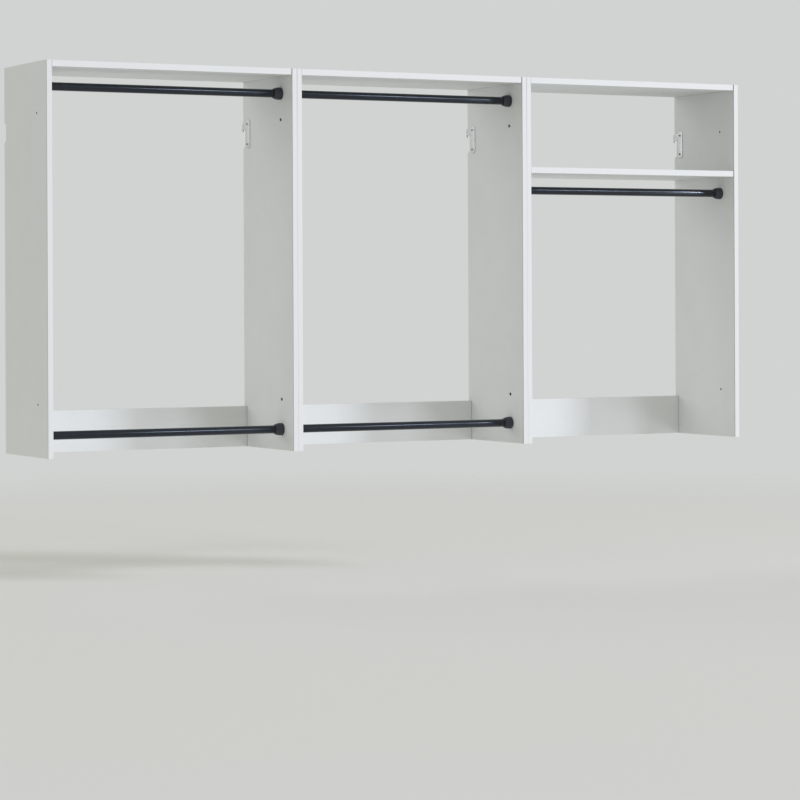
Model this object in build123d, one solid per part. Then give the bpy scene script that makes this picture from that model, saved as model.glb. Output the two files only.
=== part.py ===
from build123d import *
import os

# A closet system of three bays that hangs on a wall.
# X runs along the wall, Y points into the wall and Z is up, in millimetres.
# The origin is on the rear plane, at the middle of the middle bay's rail.

# Bays, from left to right
BAYS = ("left", "middle", "right")
BAY_WIDTH = 813.0
HEIGHT = 1168.0
DEPTH = 356.0

# Boards
SIDE_THICKNESS = 16.0
BOARD_THICKNESS = 19.0
RAIL_THICKNESS = 19.0
RAIL_HEIGHT = 127.0
BOARD_SETBACK = 2.0
SHELF_TOP_BELOW_TOP = 286.0
SHELF_BAY = "right"

# Edge bands, glued to the long edges that show
BAND_THICKNESS = 1.0
BAND_ROUND = 0.6

# Hanging rods, steel tube that lies in a cup at each end
ROD_DIAMETER = 25.0
ROD_WALL = 1.2
ROD_LINE_FROM_FRONT = 83.0
ROD_BELOW_BOARD = 53.0
LOWER_ROD_HEIGHT = 64.0
LOWER_ROD_BAYS = ("left", "middle")

# Rod cups
CUP_LENGTH = 26.0
CUP_FLANGE_DIAMETER = 38.0
CUP_FLANGE_THICKNESS = 6.0
CUP_MOUTH_WALL = 1.7
CUP_SHOULDER_RISE = 3.7
CUP_SHOULDER_REACH = 10.0
CUP_FLOOR = 4.5
ROD_RADIAL_CLEARANCE = 0.08
ROD_END_CLEARANCE = 0.6

# Rod cup screws, countersunk in the floor of the cup
CUP_SCREW_HEAD_DIAMETER = 7.0
CUP_SCREW_HEAD_HEIGHT = 2.2
CUP_SCREW_DIAMETER = 3.5
CUP_SCREW_GRIP = 10.0
CUP_SCREW_RECESS_WIDTH = 1.0
CUP_SCREW_RECESS_DEPTH = 1.2

# Through holes that join one bay to the next
CONNECTOR_FROM_TOP = 152.0
CONNECTOR_FROM_BOTTOM = 156.0
CONNECTOR_HOLE_DIAMETER = 6.6
CONNECTOR_HEAD_DIAMETER = 9.0
CONNECTOR_HEAD_HEIGHT = 1.2
CONNECTOR_SLEEVE_LENGTH = 24.0
CONNECTOR_SCREW_DIAMETER = 4.0
CONNECTOR_SCREW_LENGTH = 20.0
CONNECTOR_DRIVE_WIDTH = 2.5
CONNECTOR_DRIVE_DEPTH = 0.9

# Hangers, steel plates whose hook drops over the lip of a wall rail
HANGER_LINE_FROM_REAR = 37.0
HANGER_UPPER_SCREW_FROM_TOP = 152.0
HANGER_SCREW_SPACING = 64.0
HANGER_WIDTH = 27.0
HANGER_END_MARGIN = 12.0
HANGER_THICKNESS = 2.5
HANGER_CORNER_RADIUS = 9.0
HOOK_ARM_HEIGHT = 22.0
HOOK_REACH_PAST_REAR = 5.0
HOOK_TIP_WIDTH = 7.0
HOOK_TIP_DROP = 8.0
HOOK_TIP_RADIUS = 2.5
HANGER_SCREW_HEAD_DIAMETER = 8.4
HANGER_SCREW_HEAD_HEIGHT = 2.6
HANGER_SCREW_HEAD_ROUND = 1.2
HANGER_SCREW_DIAMETER = 4.0
HANGER_SCREW_GRIP = 9.0
HANGER_RECESS_WIDTH = 1.1
HANGER_RECESS_LENGTH = 5.0
HANGER_RECESS_DEPTH = 1.6

# Notch in the rear edge of each side panel, which clears the wall rail
NOTCH_TOP_BELOW_UPPER_SCREW = 16.0
NOTCH_HEIGHT = 60.0
NOTCH_DEPTH = 13.0
NOTCH_SLOPE_RISE = 7.0

# Cam locks and cam bolts in the ends of the boards
CAM_DIAMETER = 14.8
CAM_HEIGHT = 12.5
CAM_BELOW_FACE = 0.5
CAM_FLOOR_CLEARANCE = 0.2
CAM_SETBACK = 34.0
CAM_FROM_BOARD_EDGE = 60.0
CAM_DRIVE_LENGTH = 9.0
CAM_DRIVE_WIDTH = 1.6
CAM_DRIVE_DEPTH = 2.0
BOLT_THREAD_DIAMETER = 5.0
BOLT_THREAD_LENGTH = 10.0
BOLT_SHANK_DIAMETER = 6.8
BOLT_NECK_DIAMETER = 4.2
BOLT_NECK_LENGTH = 7.0
BOLT_HEAD_DIAMETER = 6.6
BOLT_HEAD_LENGTH = 3.0
BOLT_BORE_DIAMETER = 8.0

# Wood dowels in the ends of the boards
DOWEL_DIAMETER = 7.9
DOWEL_LENGTH = 30.0
DOWEL_IN_PANEL = 10.0
DOWEL_BESIDE_CAM = 32.0
RAIL_DOWEL_FROM_EDGE = 24.0

# Fits: what slides into a drilled hole, and how much deeper that hole is
FIT_CLEARANCE = 0.1
HOLE_BOTTOM_CLEARANCE = 0.5
CUT_OVERRUN = 2.0

# Places that follow from the sizes above
BASE_Z = -RAIL_HEIGHT / 2
TOP_Z = BASE_Z + HEIGHT
BOARD_FRONT_Y = BOARD_SETBACK - DEPTH
TOP_BOARD_UNDERSIDE_Z = TOP_Z - BOARD_THICKNESS
SHELF_TOP_Z = TOP_Z - SHELF_TOP_BELOW_TOP
SHELF_UNDERSIDE_Z = SHELF_TOP_Z - BOARD_THICKNESS
ROD_Y = ROD_LINE_FROM_FRONT - DEPTH
CONNECTOR_HEIGHTS = (BASE_Z + CONNECTOR_FROM_BOTTOM, TOP_Z - CONNECTOR_FROM_TOP)
HANGER_Y = -HANGER_LINE_FROM_REAR
HANGER_UPPER_Z = TOP_Z - HANGER_UPPER_SCREW_FROM_TOP
HANGER_LOWER_Z = HANGER_UPPER_Z - HANGER_SCREW_SPACING
NOTCH_TOP_Z = HANGER_UPPER_Z - NOTCH_TOP_BELOW_UPPER_SCREW
NOTCH_BOTTOM_Z = NOTCH_TOP_Z - NOTCH_HEIGHT
BOARD_LENGTH = BAY_WIDTH - 2 * SIDE_THICKNESS
CUP_BORE_RADIUS = ROD_DIAMETER / 2 + ROD_RADIAL_CLEARANCE

LOW_CORNER = (Align.MIN, Align.MIN, Align.MIN)
ON_BASE = (Align.CENTER, Align.CENTER, Align.MIN)


# Shapes that several pieces share

def block(x_range, y_range, z_range):
    """A box between the given low and high values of each axis."""
    sizes = [high - low for low, high in (x_range, y_range, z_range)]
    return Pos(x_range[0], y_range[0], z_range[0]) * Box(*sizes, align=LOW_CORNER)


def rod_along_x(x, y, z, direction, diameter, length):
    """A round bar that starts at a point and runs along X, direction 1 or -1."""
    turn = 90 * direction
    return Pos(x, y, z) * Rot(0, turn, 0) * Cylinder(diameter / 2, length, align=ON_BASE)


def all_in_one(pieces):
    """Separate solids that share one file, in a fixed order."""
    return Compound(children=[piece.solid() for piece in pieces])


def rounded_front(band):
    """An edge band with its long front corners rounded."""
    front = band.faces().sort_by(Axis.Y)[0]
    long_edges = front.edges().sort_by(SortBy.LENGTH)[-2:]
    return fillet(long_edges, BAND_ROUND)


# Places in a bay

def bay_sides(bay):
    """The inner faces of a bay, each with the direction in which the bay lies."""
    bay_left = (BAYS.index(bay) - len(BAYS) / 2) * BAY_WIDTH
    left_inner = bay_left + SIDE_THICKNESS
    return {"left": (left_inner, 1), "right": (left_inner + BOARD_LENGTH, -1)}


def inner_span(bay):
    """Low and high X of the space between a bay's side panels."""
    sides = bay_sides(bay)
    return sides["left"][0], sides["right"][0]


def rod_heights(bay):
    """Z of each rod of a bay, by name."""
    if bay == SHELF_BAY:
        heights = {"rod": SHELF_UNDERSIDE_Z - ROD_BELOW_BOARD}
    else:
        heights = {"upper_rod": TOP_BOARD_UNDERSIDE_Z - ROD_BELOW_BOARD}
    if bay in LOWER_ROD_BAYS:
        heights["lower_rod"] = BASE_Z + LOWER_ROD_HEIGHT
    return heights


def board_undersides(bay):
    """Z of the underside of each level board of a bay."""
    undersides = [TOP_BOARD_UNDERSIDE_Z]
    if bay == SHELF_BAY:
        undersides.append(SHELF_UNDERSIDE_Z)
    return undersides


def level_board_joints(underside):
    """Y and Z of the cam bolts and of the dowels in one end of a level board."""
    middle = underside + BOARD_THICKNESS / 2
    front_cam = BOARD_FRONT_Y + CAM_FROM_BOARD_EDGE
    rear_cam = -CAM_FROM_BOARD_EDGE
    bolts = [(front_cam, middle), (rear_cam, middle)]
    dowels = [(front_cam + DOWEL_BESIDE_CAM, middle), (rear_cam - DOWEL_BESIDE_CAM, middle)]
    return bolts, dowels


def rail_joints():
    """Y and Z of the cam bolt and of the dowels in one end of a rail."""
    middle_y = -RAIL_THICKNESS / 2
    low = BASE_Z + RAIL_DOWEL_FROM_EDGE
    high = BASE_Z + RAIL_HEIGHT - RAIL_DOWEL_FROM_EDGE
    return [(middle_y, BASE_Z + RAIL_HEIGHT / 2)], [(middle_y, low), (middle_y, high)]


def bay_joints(bay):
    """Y and Z of all cam bolts and all dowels on one side of a bay."""
    bolts, dowels = rail_joints()
    for underside in board_undersides(bay):
        more_bolts, more_dowels = level_board_joints(underside)
        bolts = bolts + more_bolts
        dowels = dowels + more_dowels
    return bolts, dowels


# Side panels

def notch_cutter(x_range):
    """The prism that is cut from the rear edge, with a sloping lower corner."""
    outline = Polyline(
        (0, NOTCH_TOP_Z),
        (-NOTCH_DEPTH, NOTCH_TOP_Z),
        (-NOTCH_DEPTH, NOTCH_BOTTOM_Z + NOTCH_SLOPE_RISE),
        (0, NOTCH_BOTTOM_Z),
        (CUT_OVERRUN, NOTCH_BOTTOM_Z),
        (CUT_OVERRUN, NOTCH_TOP_Z),
        close=True,
    )
    width = x_range[1] - x_range[0]
    start = Plane(origin=(x_range[0], 0, 0), x_dir=(0, 1, 0), z_dir=(1, 0, 0))
    return extrude(start * make_face(outline), width)


def drilled_from_face(face_x, direction, y, z, diameter, depth):
    """A cutter for a blind hole that goes from a panel's inner face into the panel."""
    start = face_x + direction * CUT_OVERRUN
    return rod_along_x(start, y, z, -direction, diameter, depth + CUT_OVERRUN)


def side_panel(bay, side):
    """One side panel with its notch and all of its drilled holes."""
    face_x, direction = bay_sides(bay)[side]
    outer_x = face_x - direction * SIDE_THICKNESS
    x_range = (min(face_x, outer_x), max(face_x, outer_x))
    panel = block(x_range, (BAND_THICKNESS - DEPTH, 0), (BASE_Z, TOP_Z))
    cutters = [notch_cutter(x_range)]
    through = SIDE_THICKNESS + CUT_OVERRUN
    for z in CONNECTOR_HEIGHTS:
        cutters.append(drilled_from_face(face_x, direction, ROD_Y, z, CONNECTOR_HOLE_DIAMETER, through))
    screw_hole = HANGER_SCREW_DIAMETER + 2 * FIT_CLEARANCE
    screw_depth = HANGER_SCREW_GRIP + HOLE_BOTTOM_CLEARANCE
    for z in (HANGER_UPPER_Z, HANGER_LOWER_Z):
        cutters.append(drilled_from_face(face_x, direction, HANGER_Y, z, screw_hole, screw_depth))
    cup_hole = CUP_SCREW_DIAMETER + 2 * FIT_CLEARANCE
    cup_depth = CUP_SCREW_GRIP + HOLE_BOTTOM_CLEARANCE
    for z in rod_heights(bay).values():
        cutters.append(drilled_from_face(face_x, direction, ROD_Y, z, cup_hole, cup_depth))
    bolts, dowels = bay_joints(bay)
    bolt_hole = BOLT_THREAD_DIAMETER + 2 * FIT_CLEARANCE
    bolt_depth = BOLT_THREAD_LENGTH + HOLE_BOTTOM_CLEARANCE
    for y, z in bolts:
        cutters.append(drilled_from_face(face_x, direction, y, z, bolt_hole, bolt_depth))
    dowel_hole = DOWEL_DIAMETER + 2 * FIT_CLEARANCE
    dowel_depth = DOWEL_IN_PANEL + HOLE_BOTTOM_CLEARANCE
    for y, z in dowels:
        cutters.append(drilled_from_face(face_x, direction, y, z, dowel_hole, dowel_depth))
    return panel - cutters


def side_band(bay, side):
    """The edge band on the front edge of one side panel."""
    face_x, direction = bay_sides(bay)[side]
    outer_x = face_x - direction * SIDE_THICKNESS
    x_range = (min(face_x, outer_x), max(face_x, outer_x))
    return rounded_front(block(x_range, (-DEPTH, BAND_THICKNESS - DEPTH), (BASE_Z, TOP_Z)))


# Level boards: the top boards and the shelf, set back a little from the panels' front edges

def end_bores(bay, bolts, dowels):
    """Cutters for the bolt and dowel bores in both ends of a board."""
    cutters = []
    dowel_bore = DOWEL_DIAMETER + 2 * FIT_CLEARANCE
    dowel_depth = DOWEL_LENGTH - DOWEL_IN_PANEL + HOLE_BOTTOM_CLEARANCE
    for end_x, direction in bay_sides(bay).values():
        start = end_x - direction * CUT_OVERRUN
        for y, z in bolts:
            length = CAM_SETBACK + CUT_OVERRUN
            cutters.append(rod_along_x(start, y, z, direction, BOLT_BORE_DIAMETER, length))
        for y, z in dowels:
            length = dowel_depth + CUT_OVERRUN
            cutters.append(rod_along_x(start, y, z, direction, dowel_bore, length))
    return cutters


def cam_bore():
    """A cutter for one cam lock's bore, upright, with its mouth at the origin."""
    depth = CAM_BELOW_FACE + CAM_HEIGHT + CAM_FLOOR_CLEARANCE
    bore_radius = CAM_DIAMETER / 2 + FIT_CLEARANCE
    return Pos(0, 0, -depth) * Cylinder(bore_radius, depth + CUT_OVERRUN, align=ON_BASE)


def cam_places(bay, bolts, on_rail):
    """Where each cam lock of a board sits: its mouth on the hidden face, turned to its bolt."""
    places = []
    for end_x, direction in bay_sides(bay).values():
        to_bolt = 180 if direction == 1 else 0
        for y, z in bolts:
            x = end_x + direction * CAM_SETBACK
            if on_rail:
                places.append(Pos(x, 0, z) * Rot(-90, 0, 0) * Rot(0, 0, to_bolt))
            else:
                places.append(Pos(x, y, z + BOARD_THICKNESS / 2) * Rot(0, 0, to_bolt))
    return places


def level_board(bay, underside):
    """A top board or a shelf, bored for its cam locks, bolts and dowels."""
    y_range = (BOARD_FRONT_Y + BAND_THICKNESS, 0)
    board = block(inner_span(bay), y_range, (underside, underside + BOARD_THICKNESS))
    bolts, dowels = level_board_joints(underside)
    cutters = end_bores(bay, bolts, dowels)
    cutters += [place * cam_bore() for place in cam_places(bay, bolts, False)]
    return board - cutters


def level_board_band(bay, underside):
    """The edge band on the front edge of a top board or a shelf."""
    y_range = (BOARD_FRONT_Y, BOARD_FRONT_Y + BAND_THICKNESS)
    z_range = (underside, underside + BOARD_THICKNESS)
    return rounded_front(block(inner_span(bay), y_range, z_range))


# Rails

def rail(bay):
    """The rear bottom rail of a bay, which lies against the wall."""
    z_range = (BASE_Z + BAND_THICKNESS, BASE_Z + RAIL_HEIGHT - BAND_THICKNESS)
    board = block(inner_span(bay), (-RAIL_THICKNESS, 0), z_range)
    bolts, dowels = rail_joints()
    cutters = end_bores(bay, bolts, dowels)
    cutters += [place * cam_bore() for place in cam_places(bay, bolts, True)]
    return board - cutters


def rail_bands(bay):
    """The edge bands on the lower and the upper edge of a rail."""
    y_range = (-RAIL_THICKNESS, 0)
    lower = block(inner_span(bay), y_range, (BASE_Z, BASE_Z + BAND_THICKNESS))
    rail_top = BASE_Z + RAIL_HEIGHT
    upper = block(inner_span(bay), y_range, (rail_top - BAND_THICKNESS, rail_top))
    rounded = []
    for band, end in ((lower, 0), (upper, -1)):
        face = band.faces().sort_by(Axis.Z)[end]
        front_edge = face.edges().filter_by(Axis.X).sort_by(Axis.Y)[0]
        rounded.append(fillet(front_edge, BAND_ROUND))
    return rounded


# Cam locks, cam bolts and dowels

def cam_lock():
    """A cam lock, upright, with its bore's mouth at the origin and its bolt along +X."""
    top = -CAM_BELOW_FACE
    body = Pos(0, 0, top - CAM_HEIGHT) * Cylinder(CAM_DIAMETER / 2, CAM_HEIGHT, align=ON_BASE)
    axis_z = -BOARD_THICKNESS / 2
    neck = rod_along_x(0, 0, axis_z, 1, BOLT_NECK_DIAMETER + 4 * FIT_CLEARANCE, CAM_DIAMETER)
    head_length = BOLT_HEAD_LENGTH + 2 * HOLE_BOTTOM_CLEARANCE
    head_start = -head_length / 2
    head = rod_along_x(head_start, 0, axis_z, 1, BOLT_HEAD_DIAMETER + 4 * FIT_CLEARANCE, head_length)
    half_drive = CAM_DRIVE_LENGTH / 2
    half_width = CAM_DRIVE_WIDTH / 2
    z_range = (top - CAM_DRIVE_DEPTH, top + CUT_OVERRUN)
    slot = block((-half_drive, half_drive), (-half_width, half_width), z_range)
    cross_slot = block((-half_width, half_width), (-half_drive, half_drive), z_range)
    return body - [neck, head, slot, cross_slot]


def bay_cam_locks(bay):
    """All cam locks of a bay, in the top faces of its boards and the rear face of its rail."""
    bolts, _ = rail_joints()
    places = cam_places(bay, bolts, True)
    for underside in board_undersides(bay):
        board_bolts, _ = level_board_joints(underside)
        places += cam_places(bay, board_bolts, False)
    return [place * cam_lock() for place in places]


def cam_bolt(face_x, direction, y, z):
    """A cam bolt, threaded into a side panel, with its head in the cam lock."""
    thread = rod_along_x(face_x, y, z, -direction, BOLT_THREAD_DIAMETER, BOLT_THREAD_LENGTH)
    head_end = CAM_SETBACK + BOLT_HEAD_LENGTH / 2
    neck_start = head_end - BOLT_HEAD_LENGTH - BOLT_NECK_LENGTH
    shank = rod_along_x(face_x, y, z, direction, BOLT_SHANK_DIAMETER, neck_start)
    neck_x = face_x + direction * neck_start
    neck = rod_along_x(neck_x, y, z, direction, BOLT_NECK_DIAMETER, BOLT_NECK_LENGTH)
    head_x = neck_x + direction * BOLT_NECK_LENGTH
    head = rod_along_x(head_x, y, z, direction, BOLT_HEAD_DIAMETER, BOLT_HEAD_LENGTH)
    return thread + shank + neck + head


def bay_cam_bolts(bay):
    """All cam bolts of a bay."""
    bolts, _ = bay_joints(bay)
    sides = bay_sides(bay).values()
    return [cam_bolt(face_x, direction, y, z) for face_x, direction in sides for y, z in bolts]


def bay_dowels(bay):
    """All wood dowels of a bay."""
    _, dowels = bay_joints(bay)
    pegs = []
    for face_x, direction in bay_sides(bay).values():
        start = face_x - direction * DOWEL_IN_PANEL
        pegs += [rod_along_x(start, y, z, direction, DOWEL_DIAMETER, DOWEL_LENGTH) for y, z in dowels]
    return pegs


# Rods, their cups and the screws of the cups

def rod(bay, z):
    """A hanging rod: a tube that ends just short of the floors of its two cups."""
    left, right = inner_span(bay)
    start = left + CUP_FLOOR + ROD_END_CLEARANCE
    length = right - CUP_FLOOR - ROD_END_CLEARANCE - start
    bar = rod_along_x(start, ROD_Y, z, 1, ROD_DIAMETER, length)
    hollow_start = start - CUT_OVERRUN
    hollow_diameter = ROD_DIAMETER - 2 * ROD_WALL
    return bar - rod_along_x(hollow_start, ROD_Y, z, 1, hollow_diameter, length + 2 * CUT_OVERRUN)


def placed_on_panel(shape, face_x, direction, z):
    """A shape modelled along +Z, laid on a side panel at the rod line."""
    return Pos(face_x, ROD_Y, z) * Rot(0, 90 * direction, 0) * shape


def rod_cup(face_x, direction, z):
    """A bell shaped cup: a flange, a domed shoulder and a mouth close round the rod."""
    flange_radius = CUP_FLANGE_DIAMETER / 2
    mouth_radius = CUP_BORE_RADIUS + CUP_MOUTH_WALL
    shoulder = (mouth_radius + CUP_SHOULDER_RISE, CUP_LENGTH - CUP_SHOULDER_REACH)
    dome = ThreePointArc((mouth_radius, CUP_LENGTH), shoulder, (flange_radius, CUP_FLANGE_THICKNESS))
    rest = Polyline(
        (flange_radius, CUP_FLANGE_THICKNESS),
        (flange_radius, 0),
        (0, 0),
        (0, CUP_LENGTH),
        (mouth_radius, CUP_LENGTH),
    )
    outline = Plane.XZ * make_face([dome, rest])
    body = revolve(outline, Axis.Z)
    bore_length = CUP_LENGTH - CUP_FLOOR + CUT_OVERRUN
    bore = Pos(0, 0, CUP_FLOOR) * Cylinder(CUP_BORE_RADIUS, bore_length, align=ON_BASE)
    screw = cup_screw_shape(FIT_CLEARANCE, CUP_FLOOR + CUT_OVERRUN)
    return placed_on_panel(body - [bore, screw], face_x, direction, z)


def cup_screw_shape(clearance, shank_length):
    """A countersunk screw, head up, whose head is flush with the floor of the cup."""
    shank_radius = CUP_SCREW_DIAMETER / 2 + clearance
    head_radius = CUP_SCREW_HEAD_DIAMETER / 2 + clearance
    shank = Pos(0, 0, CUP_FLOOR - shank_length) * Cylinder(shank_radius, shank_length, align=ON_BASE)
    head_z = CUP_FLOOR - CUP_SCREW_HEAD_HEIGHT
    head = Pos(0, 0, head_z) * Cone(shank_radius, head_radius, CUP_SCREW_HEAD_HEIGHT, align=ON_BASE)
    return shank + head


def cup_screw(face_x, direction, z):
    """The screw of one rod cup, with a cross recess in its head."""
    screw = cup_screw_shape(0, CUP_FLOOR + CUP_SCREW_GRIP)
    half_length = CUP_SCREW_DIAMETER / 2
    half_width = CUP_SCREW_RECESS_WIDTH / 2
    z_range = (CUP_FLOOR - CUP_SCREW_RECESS_DEPTH, CUP_FLOOR + CUT_OVERRUN)
    slot = block((-half_length, half_length), (-half_width, half_width), z_range)
    cross_slot = block((-half_width, half_width), (-half_length, half_length), z_range)
    return placed_on_panel(screw - [slot, cross_slot], face_x, direction, z)


# Hangers and their screws

def hanger_outline():
    """The outline of a hanger in Y and Z: an upright plate with a hook at its upper rear."""
    plate_height = HANGER_SCREW_SPACING + 2 * HANGER_END_MARGIN
    plate_middle = (HANGER_UPPER_Z + HANGER_LOWER_Z) / 2
    plate = Pos(HANGER_Y, plate_middle) * RectangleRounded(HANGER_WIDTH, plate_height, HANGER_CORNER_RADIUS)
    arm_length = HANGER_LINE_FROM_REAR + HOOK_REACH_PAST_REAR
    arm_low_corner = Pos(HANGER_Y, NOTCH_TOP_Z)
    arm = arm_low_corner * Rectangle(arm_length, HOOK_ARM_HEIGHT, align=(Align.MIN, Align.MIN))
    arm = fillet(arm.vertices().group_by(Axis.X)[-1].sort_by(Axis.Y)[-1], HANGER_CORNER_RADIUS)
    tip_height = HOOK_TIP_DROP + HOOK_ARM_HEIGHT / 2
    tip_corner = Pos(HOOK_REACH_PAST_REAR, NOTCH_TOP_Z - HOOK_TIP_DROP)
    tip = tip_corner * Rectangle(HOOK_TIP_WIDTH, tip_height, align=(Align.MAX, Align.MIN))
    tip = fillet(tip.vertices().group_by(Axis.Y)[0], HOOK_TIP_RADIUS)
    return plate + arm + tip


def hanger(face_x, direction):
    """A steel hanger on a side panel's inner face, drilled for its two screws."""
    x_low = min(face_x, face_x + direction * HANGER_THICKNESS)
    start = Plane(origin=(x_low, 0, 0), x_dir=(0, 1, 0), z_dir=(1, 0, 0))
    plate = extrude(start * hanger_outline(), HANGER_THICKNESS)
    hole = HANGER_SCREW_DIAMETER + 2 * FIT_CLEARANCE
    through = HANGER_THICKNESS + CUT_OVERRUN
    cutters = []
    for z in (HANGER_UPPER_Z, HANGER_LOWER_Z):
        front_x = face_x + direction * HANGER_THICKNESS
        cutters.append(drilled_from_face(front_x, direction, HANGER_Y, z, hole, through))
    return plate - cutters


def hanger_screw(face_x, direction, z):
    """A pan head screw that holds a hanger, with a cross recess."""
    head_x = face_x + direction * HANGER_THICKNESS
    shank_length = HANGER_THICKNESS + HANGER_SCREW_GRIP
    shank = rod_along_x(head_x, HANGER_Y, z, -direction, HANGER_SCREW_DIAMETER, shank_length)
    head_diameter = HANGER_SCREW_HEAD_DIAMETER
    head = rod_along_x(head_x, HANGER_Y, z, direction, head_diameter, HANGER_SCREW_HEAD_HEIGHT)
    rim = head.edges().filter_by(GeomType.CIRCLE).sort_by(Axis.X)[-1 if direction == 1 else 0]
    head = fillet(rim, HANGER_SCREW_HEAD_ROUND)
    top_x = head_x + direction * HANGER_SCREW_HEAD_HEIGHT
    ends = (top_x - direction * HANGER_RECESS_DEPTH, top_x + direction * CUT_OVERRUN)
    x_range = (min(ends), max(ends))
    long_half = HANGER_RECESS_LENGTH / 2
    short_half = HANGER_RECESS_WIDTH / 2
    slots = []
    for half_y, half_z in ((long_half, short_half), (short_half, long_half)):
        slots.append(block(x_range, (HANGER_Y - half_y, HANGER_Y + half_y), (z - half_z, z + half_z)))
    return (shank + head) - slots


# Connectors between neighbouring bays

def hex_drive(face_x, direction, z):
    """A cutter for the hexagonal drive in a connector's head."""
    radius = CONNECTOR_DRIVE_WIDTH / 2
    prism = extrude(RegularPolygon(radius, 6), CONNECTOR_DRIVE_DEPTH + CUT_OVERRUN)
    start = face_x - direction * CONNECTOR_DRIVE_DEPTH
    return Pos(start, ROD_Y, z) * Rot(0, 90 * direction, 0) * prism


def connector_sleeve(seam_x, z):
    """A sleeve whose head lies on the inner face to the right of a seam."""
    face_x = seam_x + SIDE_THICKNESS
    head = rod_along_x(face_x, ROD_Y, z, 1, CONNECTOR_HEAD_DIAMETER, CONNECTOR_HEAD_HEIGHT)
    barrel_diameter = CONNECTOR_HOLE_DIAMETER - 2 * FIT_CLEARANCE
    barrel = rod_along_x(face_x, ROD_Y, z, -1, barrel_diameter, CONNECTOR_SLEEVE_LENGTH)
    bore_diameter = CONNECTOR_SCREW_DIAMETER + 2 * FIT_CLEARANCE
    bore = rod_along_x(face_x, ROD_Y, z, -1, bore_diameter, CONNECTOR_SLEEVE_LENGTH + CUT_OVERRUN)
    drive = hex_drive(face_x + CONNECTOR_HEAD_HEIGHT, 1, z)
    return head + barrel - [bore, drive]


def connector_screw(seam_x, z):
    """A screw whose head lies on the inner face to the left of a seam."""
    face_x = seam_x - SIDE_THICKNESS
    head = rod_along_x(face_x, ROD_Y, z, -1, CONNECTOR_HEAD_DIAMETER, CONNECTOR_HEAD_HEIGHT)
    shank = rod_along_x(face_x, ROD_Y, z, 1, CONNECTOR_SCREW_DIAMETER, CONNECTOR_SCREW_LENGTH)
    return head + shank - hex_drive(face_x - CONNECTOR_HEAD_HEIGHT, -1, z)


def seams():
    """X of each plane where two bays meet."""
    return [bay_sides(bay)["left"][0] - SIDE_THICKNESS for bay in BAYS[1:]]


# All pieces, by the name of their file

def frame_pieces():
    """Panels, boards, rails and edge bands."""
    pieces = {}
    side_bands = []
    for bay in BAYS:
        for side in bay_sides(bay):
            pieces[f"{bay}_bay_{side}_panel"] = side_panel(bay, side)
            side_bands.append(side_band(bay, side))
        pieces[f"{bay}_bay_top_board"] = level_board(bay, TOP_BOARD_UNDERSIDE_Z)
        pieces[f"{bay}_bay_rail"] = rail(bay)
    pieces[f"{SHELF_BAY}_bay_shelf"] = level_board(SHELF_BAY, SHELF_UNDERSIDE_Z)
    pieces["side_panel_edge_bands"] = all_in_one(side_bands)
    top_bands = [level_board_band(bay, TOP_BOARD_UNDERSIDE_Z) for bay in BAYS]
    pieces["top_board_edge_bands"] = all_in_one(top_bands)
    pieces["shelf_edge_band"] = level_board_band(SHELF_BAY, SHELF_UNDERSIDE_Z)
    pieces["rail_edge_bands"] = all_in_one([band for bay in BAYS for band in rail_bands(bay)])
    return pieces


def joint_pieces():
    """Cam locks, cam bolts, dowels and the connectors between bays."""
    pieces = {}
    for bay in BAYS:
        pieces[f"{bay}_bay_cam_locks"] = all_in_one(bay_cam_locks(bay))
        pieces[f"{bay}_bay_cam_bolts"] = all_in_one(bay_cam_bolts(bay))
        pieces[f"{bay}_bay_dowels"] = all_in_one(bay_dowels(bay))
    places = [(seam_x, z) for seam_x in seams() for z in CONNECTOR_HEIGHTS]
    pieces["connector_sleeves"] = all_in_one([connector_sleeve(x, z) for x, z in places])
    pieces["connector_screws"] = all_in_one([connector_screw(x, z) for x, z in places])
    return pieces


def rod_pieces():
    """Rods, rod cups and the screws of the cups."""
    pieces = {}
    screws = []
    for bay in BAYS:
        for rod_name, z in rod_heights(bay).items():
            pieces[f"{bay}_bay_{rod_name}"] = rod(bay, z)
            for side, (face_x, direction) in bay_sides(bay).items():
                pieces[f"{bay}_bay_{rod_name}_{side}_cup"] = rod_cup(face_x, direction, z)
                screws.append(cup_screw(face_x, direction, z))
    pieces["rod_cup_screws"] = all_in_one(screws)
    return pieces


def hanger_pieces():
    """Hangers and their screws."""
    pieces = {}
    screws = []
    for bay in BAYS:
        for side, (face_x, direction) in bay_sides(bay).items():
            pieces[f"{bay}_bay_{side}_hanger"] = hanger(face_x, direction)
            for z in (HANGER_UPPER_Z, HANGER_LOWER_Z):
                screws.append(hanger_screw(face_x, direction, z))
    pieces["hanger_screws"] = all_in_one(screws)
    return pieces


def main():
    """Build every piece and write each to its own file."""
    os.makedirs("parts", exist_ok=True)
    pieces = {}
    for group in (frame_pieces, joint_pieces, rod_pieces, hanger_pieces):
        pieces.update(group())
    for name, shape in pieces.items():
        export_step(shape, f"parts/{name}.step")


main()
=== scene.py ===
import logging
import math
from dataclasses import dataclass
from enum import Enum
from typing import Any, Mapping, Sequence

import bmesh
import bpy
import numpy as np
from bpy.types import Material, Node, NodeSocket, NodeTree, Object
from mathutils import Euler, Matrix, Vector
from mathutils.geometry import tessellate_polygon


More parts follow.
